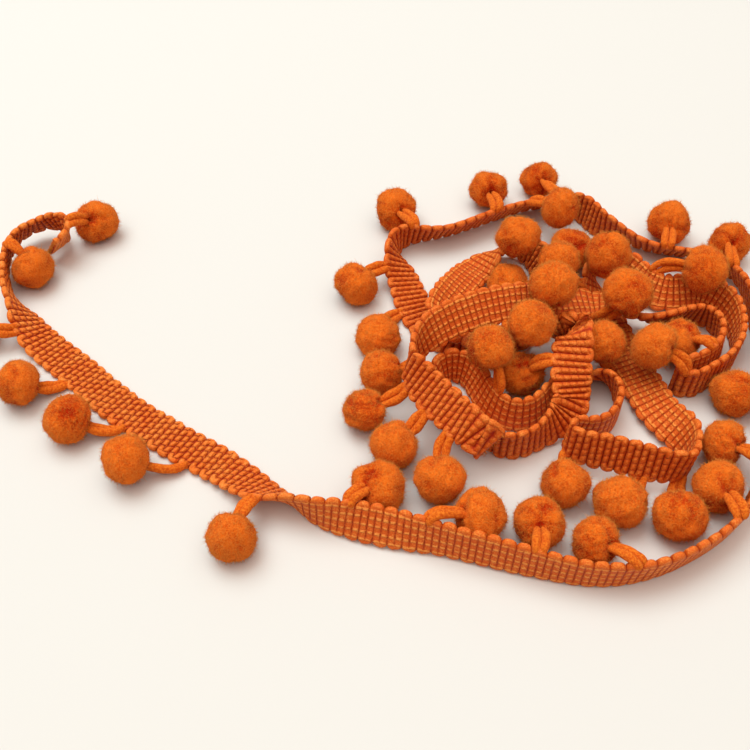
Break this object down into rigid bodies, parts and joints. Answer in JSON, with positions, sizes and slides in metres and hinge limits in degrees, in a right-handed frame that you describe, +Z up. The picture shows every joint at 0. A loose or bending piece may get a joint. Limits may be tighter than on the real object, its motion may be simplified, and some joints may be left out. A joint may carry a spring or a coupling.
{
  "type": "pompom fringe trim",
  "caption": "Narrow ribbed braid tape with felted ball pompoms hung from one edge on doubled yarn ties, lying in a loose, looped heap.",
  "frame": {"origin": "on the surface that the trim lies on, under the middle of its whole box", "axes": "+X runs from the curled end to the heap, the longest way; +Z is up from the surface, the shortest way"},
  "size_m": [0.226, 0.141, 0.0264],
  "materials": {
    "braid_yarn": "matt, softly fibrous",
    "pompom_felt": "matt, fuzzy"
  },
  "bodies": {
    "root": {"tape": "braid_yarn", "pompom_01": "pompom_felt", "pompom_02": "pompom_felt", "pompom_03": "pompom_felt", "pompom_04": "pompom_felt", "pompom_05": "pompom_felt", "pompom_06": "pompom_felt", "pompom_07": "pompom_felt", "pompom_08": "pompom_felt", "pompom_09": "pompom_felt", "pompom_10": "pompom_felt", "pompom_11": "pompom_felt", "pompom_12": "pompom_felt", "pompom_13": "pompom_felt", "pompom_14": "pompom_felt", "pompom_15": "pompom_felt", "pompom_16": "pompom_felt", "pompom_17": "pompom_felt", "pompom_18": "pompom_felt", "pompom_19": "pompom_felt", "pompom_20": "pompom_felt", "pompom_21": "pompom_felt", "pompom_22": "pompom_felt", "pompom_23": "pompom_felt", "pompom_24": "pompom_felt", "pompom_25": "pompom_felt", "pompom_26": "pompom_felt", "pompom_27": "pompom_felt", "pompom_28": "pompom_felt", "pompom_29": "pompom_felt", "pompom_30": "pompom_felt", "pompom_31": "pompom_felt", "pompom_32": "pompom_felt", "pompom_33": "pompom_felt", "pompom_34": "pompom_felt", "pompom_35": "pompom_felt", "pompom_36": "pompom_felt", "pompom_37": "pompom_felt", "pompom_38": "pompom_felt", "pompom_39": "pompom_felt", "pompom_40": "pompom_felt", "pompom_41": "pompom_felt", "pompom_42": "pompom_felt", "pompom_43": "pompom_felt", "pompom_44": "pompom_felt"}
  },
  "joints": []
}
